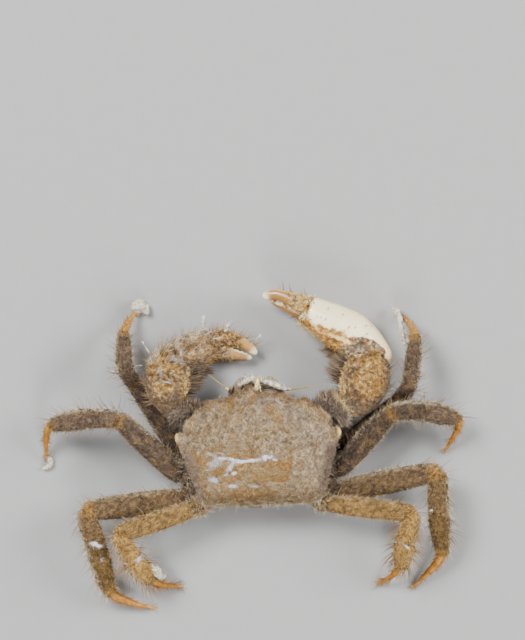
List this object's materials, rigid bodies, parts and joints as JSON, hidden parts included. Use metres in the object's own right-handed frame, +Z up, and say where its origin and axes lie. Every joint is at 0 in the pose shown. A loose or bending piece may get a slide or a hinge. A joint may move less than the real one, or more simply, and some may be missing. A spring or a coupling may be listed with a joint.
{
  "type": "pilumnid crab",
  "caption": "Small hairy crab as a still life-size display model, resting on its belly and leg tips with both unequal claws folded in front and the legs curled at its sides.",
  "frame": {"origin": "on the floor under the middle of the shell, on the flat underside of the abdomen", "axes": "+Y forward, towards the claws; +X towards the animal's right side; +Z up"},
  "size_m": [0.0402, 0.0303, 0.0065],
  "materials": {
    "shell": "short dense coat over a mottled beige and brown shell",
    "belly": "short dense grey-brown coat",
    "mouthparts": "downy yellowish plates",
    "eyes": "small pale glossy eyes",
    "feelers": "thin glossy yellow-green feelers",
    "claw_arms": "thick ochre and grey-brown coat",
    "large_claw": "bare glossy ivory with a tan finger",
    "small_claw": "ochre-brown coat with pale bare fingers",
    "legs": "shaggy grey-brown to ochre coat",
    "leg_tips": "orange with pale tips"
  },
  "bodies": {
    "root": {"carapace": "shell", "thorax": "belly", "abdomen": "belly", "mouthpart_left": "mouthparts", "mouthpart_right": "mouthparts", "eye_left": "eyes", "eye_right": "eyes", "antenna_left": "feelers", "antenna_right": "feelers", "claw_left_coxa": "claw_arms", "claw_left_merus": "claw_arms", "claw_left_carpus": "claw_arms", "claw_left_palm": "small_claw", "claw_left_finger": "small_claw", "claw_right_coxa": "claw_arms", "claw_right_merus": "claw_arms", "claw_right_carpus": "claw_arms", "claw_right_palm": "large_claw", "claw_right_finger": "large_claw", "p2_left_coxa": "legs", "p2_left_merus": "legs", "p2_left_carpus": "legs", "p2_left_propodus": "legs", "p2_left_dactyl": "leg_tips", "p2_right_coxa": "legs", "p2_right_merus": "legs", "p2_right_carpus": "legs", "p2_right_propodus": "legs", "p2_right_dactyl": "leg_tips", "p3_left_coxa": "legs", "p3_left_merus": "legs", "p3_left_carpus": "legs", "p3_left_propodus": "legs", "p3_left_dactyl": "leg_tips", "p3_right_coxa": "legs", "p3_right_merus": "legs", "p3_right_carpus": "legs", "p3_right_propodus": "legs", "p3_right_dactyl": "leg_tips", "p4_left_coxa": "legs", "p4_left_merus": "legs", "p4_left_carpus": "legs", "p4_left_propodus": "legs", "p4_left_dactyl": "leg_tips", "p4_right_coxa": "legs", "p4_right_merus": "legs", "p4_right_carpus": "legs", "p4_right_propodus": "legs", "p4_right_dactyl": "leg_tips", "p5_left_coxa": "legs", "p5_left_merus": "legs", "p5_left_carpus": "legs", "p5_left_propodus": "legs", "p5_left_dactyl": "leg_tips", "p5_right_coxa": "legs", "p5_right_merus": "legs", "p5_right_carpus": "legs", "p5_right_propodus": "legs", "p5_right_dactyl": "leg_tips"}
  },
  "joints": []
}
